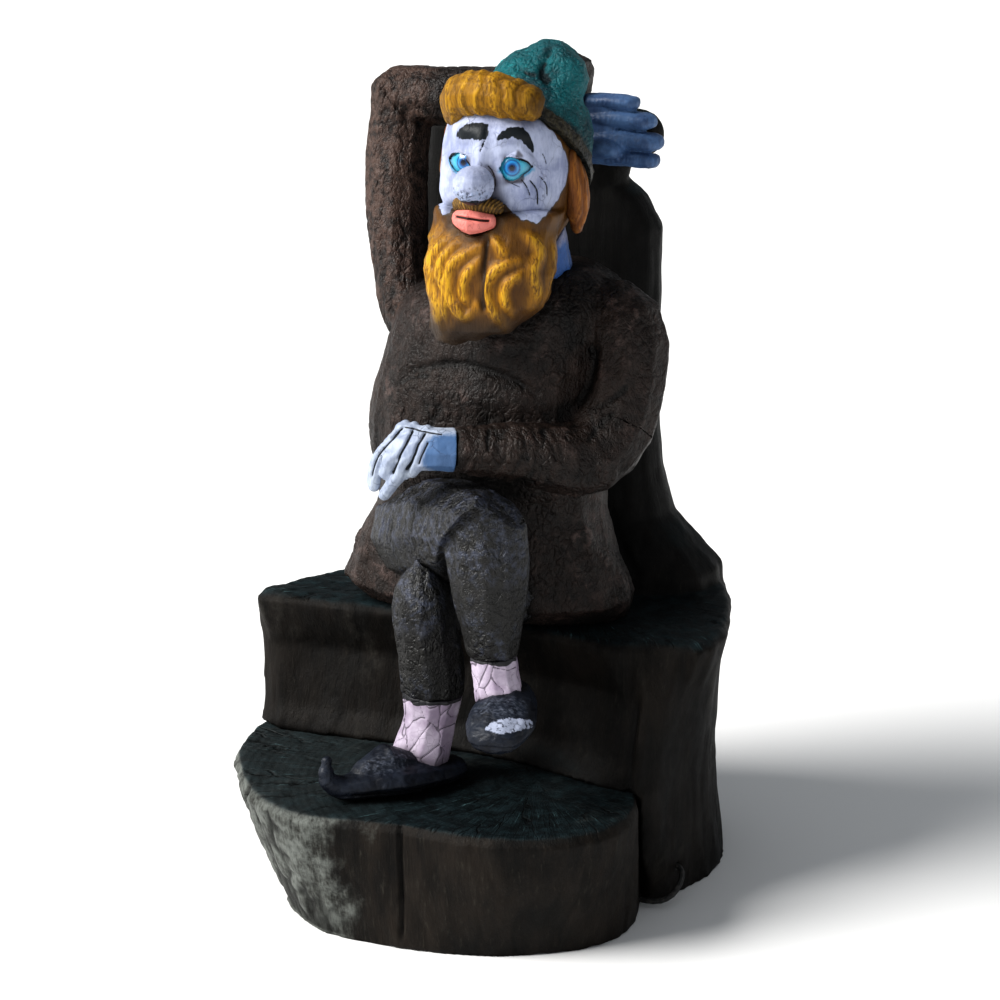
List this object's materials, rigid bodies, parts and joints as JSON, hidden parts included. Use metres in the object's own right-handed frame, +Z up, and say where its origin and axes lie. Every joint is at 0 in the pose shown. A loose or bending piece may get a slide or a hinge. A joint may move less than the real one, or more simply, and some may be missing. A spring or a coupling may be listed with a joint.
{
  "type": "garden gnome",
  "caption": "Carved and painted garden gnome that rests on a tree-trunk seat with its legs crossed and one arm behind its head.",
  "frame": {"origin": "on the ground, under the middle of the trunk's footprint", "axes": "+Z up; the figure faces -Y, so its left side is at +X"},
  "size_m": [0.666, 0.712, 1.1551],
  "materials": {
    "weathered_trunk": "weathered, painted, cracked",
    "brown_coat": "worn matt paint on carved timber",
    "blue_grey_trousers": "worn matt paint on carved timber",
    "pale_skin": "satin paint, cracked",
    "blue_skin": "satin paint",
    "pale_sock": "satin paint with fine crackle",
    "dark_shoe": "worn satin paint",
    "ochre_hair": "satin paint over carved locks",
    "teal_hat": "satin paint over hewn facets",
    "hat_band": "worn matt paint",
    "blue_eye": "glossy paint",
    "pink_lips": "satin paint",
    "bare_wood": "bare hardwood dowel",
    "galvanised_steel": "zinc coated",
    "black_rubber": "black cable sheath"
  },
  "bodies": {
    "root": {"beard": "ochre_hair", "beard_dowel": "bare_wood", "body_rod": "galvanised_steel", "body_rod_nut": "galvanised_steel", "body_rod_washer": "galvanised_steel", "coat_skirt": "brown_coat", "cord_bush": "galvanised_steel", "hair_fringe": "ochre_hair", "hat_brim": "hat_band", "hat_crown": "teal_hat", "hat_dowel": "bare_wood", "head_block": "pale_skin", "left_ankle_dowel": "bare_wood", "left_elbow_dowel": "bare_wood", "left_eye": "blue_eye", "left_forearm": "brown_coat", "left_hair_lock": "ochre_hair", "left_hand": "pale_skin", "left_hip_dowel": "bare_wood", "left_knee_dowel": "bare_wood", "left_log_rod": "galvanised_steel", "left_log_rod_nut": "galvanised_steel", "left_log_rod_washer": "galvanised_steel", "left_shin": "blue_grey_trousers", "left_shoe": "dark_shoe", "left_shoulder_dowel": "bare_wood", "left_sock": "pale_sock", "left_thigh": "blue_grey_trousers", "left_upper_arm": "brown_coat", "left_wrist_dowel": "bare_wood", "lips": "pink_lips", "moustache": "ochre_hair", "neck": "pale_skin", "neck_dowel": "bare_wood", "nose": "pale_skin", "nose_dowel": "bare_wood", "right_ankle_dowel": "bare_wood", "right_cuff": "brown_coat", "right_elbow_dowel": "bare_wood", "right_eye": "blue_eye", "right_forearm": "brown_coat", "right_hair_lock": "ochre_hair", "right_hand": "blue_skin", "right_hip_dowel": "bare_wood", "right_knee_dowel": "bare_wood", "right_log_rod": "galvanised_steel", "right_log_rod_nut": "galvanised_steel", "right_log_rod_washer": "galvanised_steel", "right_shin": "blue_grey_trousers", "right_shoe": "dark_shoe", "right_shoulder_dowel": "bare_wood", "right_sock": "pale_sock", "right_thigh": "blue_grey_trousers", "right_upper_arm": "brown_coat", "right_wrist_dowel": "bare_wood", "seat_log": "weathered_trunk", "step_log": "weathered_trunk", "tether_cord": "black_rubber", "torso": "brown_coat"}
  },
  "joints": []
}
